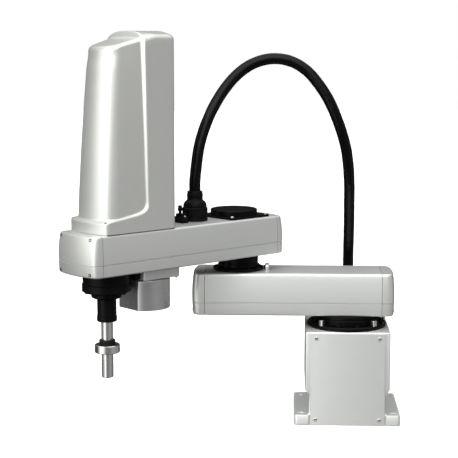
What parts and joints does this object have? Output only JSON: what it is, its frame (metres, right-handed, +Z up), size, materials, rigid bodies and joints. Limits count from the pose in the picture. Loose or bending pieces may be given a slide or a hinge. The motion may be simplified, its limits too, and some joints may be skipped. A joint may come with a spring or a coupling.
{
  "type": "scara robot arm",
  "caption": "Four-axis SCARA robot arm with a cast base, two swinging arms, a covered Z slide and a turning splined tool shaft.",
  "frame": {"origin": "on the floor face of the base, under the shoulder axis", "axes": "+Z up along the shoulder axis, -Y the front of the base, arm 1 points along -X at rest"},
  "size_m": [0.586, 0.4351, 0.704],
  "materials": {
    "silver_paint": "satin light silver paint on cast and extruded aluminium",
    "silver_cap": "satin light silver paint on moulded end caps",
    "grey_paint": "satin mid grey paint",
    "black_coat": "black satin coating on steel and aluminium drive parts",
    "black_plastic": "black moulded plastic",
    "bright_steel": "ground and machined bright steel",
    "black_rubber": "black rubber",
    "hose_black": "glossy black cable hose jacket"
  },
  "bodies": {
    "base": {"base_housing": "silver_paint", "base_front_cover": "silver_paint", "front_cover_screw_1": "bright_steel", "front_cover_screw_2": "bright_steel", "front_cover_screw_3": "bright_steel", "front_cover_screw_4": "bright_steel", "base_connector_box": "silver_paint", "robot_cable_socket": "black_plastic", "user_signal_socket": "black_plastic", "base_air_fitting_1": "black_plastic", "base_air_fitting_2": "black_plastic", "base_hose_gland": "black_plastic", "j1_motor": "black_plastic", "j1_reducer": "black_coat", "j1_mounting_ring": "black_coat", "j1_stopper_left": "bright_steel", "j1_stopper_right": "bright_steel", "harness_hose": "hose_black"},
    "arm1": {"j1_output_hub": "black_coat", "j1_stopper_pin": "bright_steel", "arm1_profile": "silver_paint", "arm1_front_cap": "silver_cap", "arm1_rear_cap": "silver_cap", "j2_lower_flange": "black_coat", "j2_stopper_bolt": "bright_steel"},
    "arm2": {"j2_reducer": "black_coat", "j2_motor": "black_plastic", "j2_motor_plate": "black_coat", "j2_motor_cap": "black_plastic", "arm2_profile": "silver_paint", "arm2_front_cap": "silver_cap", "arm2_rear_cap": "silver_cap", "arm2_hose_gland": "black_plastic", "arm2_signal_socket": "black_plastic", "arm2_air_fitting": "black_plastic", "z_cover": "silver_paint", "z_frame": "grey_paint", "z_guide_rail": "bright_steel", "z_screw_support": "grey_paint", "z_motor": "black_plastic", "z_belt": "black_rubber", "shaft_bearing_housing": "black_coat", "shaft_seal_housing": "black_coat", "r_motor_plate": "black_coat", "r_belt_cover": "black_plastic", "r_motor_cover": "grey_paint", "r_motor": "black_plastic", "r_belt": "black_rubber"},
    "z_carriage": {"z_guide_block": "bright_steel", "z_carriage_bracket": "grey_paint", "ball_nut": "bright_steel"},
    "tool_spindle": {"tool_shaft": "bright_steel", "stopper_collar": "bright_steel", "collar_bumper": "black_rubber"},
    "screw_spindle": {"ball_screw": "bright_steel", "ball_screw_pulley": "black_coat"},
    "z_motor_shaft": {"z_motor_pulley": "bright_steel"},
    "r_motor_shaft": {"r_motor_pulley": "bright_steel"},
    "nut_spindle": {"spline_nut": "bright_steel", "spline_sleeve": "black_coat"}
  },
  "joints": [
    {"name": "shoulder", "type": "hinge", "parent": "base", "child": "arm1", "pos_m": [0, 0, 0.19], "axis": [0, 0, 1], "range_deg": [-40, 220], "deforming": ["harness_hose"]},
    {"name": "elbow", "type": "hinge", "parent": "arm1", "child": "arm2", "pos_m": [-0.2, 0, 0.29], "axis": [0, 0, 1], "range_deg": [-164.5, 75.5], "deforming": ["harness_hose"]},
    {"name": "z_slide", "type": "slide", "parent": "arm2", "child": "z_carriage", "axis": [0, 0, -1], "range_m": [-0.031, 0.117]},
    {"name": "tool_turn", "type": "hinge", "parent": "z_carriage", "child": "tool_spindle", "pos_m": [-0.41397, -0.21027, 0.5], "axis": [0, 0, 1], "range_deg": [-360, 360]},
    {"name": "screw_turn", "type": "hinge", "parent": "arm2", "child": "screw_spindle", "pos_m": [-0.35574, -0.18108, 0.5], "axis": [0, 0, 1], "range_deg": [-1000, 3600]},
    {"name": "z_motor_turn", "type": "hinge", "parent": "arm2", "child": "z_motor_shaft", "pos_m": [-0.40056, -0.17256, 0.65], "axis": [0, 0, 1], "range_deg": [-1400, 4800]},
    {"name": "r_motor_turn", "type": "hinge", "parent": "arm2", "child": "r_motor_shaft", "pos_m": [-0.35335, -0.15069, 0.3], "axis": [0, 0, 1], "range_deg": [-600, 600]},
    {"name": "nut_turn", "type": "hinge", "parent": "arm2", "child": "nut_spindle", "pos_m": [-0.41397, -0.21027, 0.3], "axis": [0, 0, 1], "range_deg": [-360, 360]}
  ],
  "couplings": [
    {"joint": "screw_turn", "follows": "z_slide", "rad_per_m": 523.6},
    {"joint": "z_motor_turn", "follows": "z_slide", "rad_per_m": 698.13},
    {"joint": "nut_turn", "follows": "tool_turn", "ratio": 1},
    {"joint": "r_motor_turn", "follows": "tool_turn", "ratio": 1.625}
  ]
}
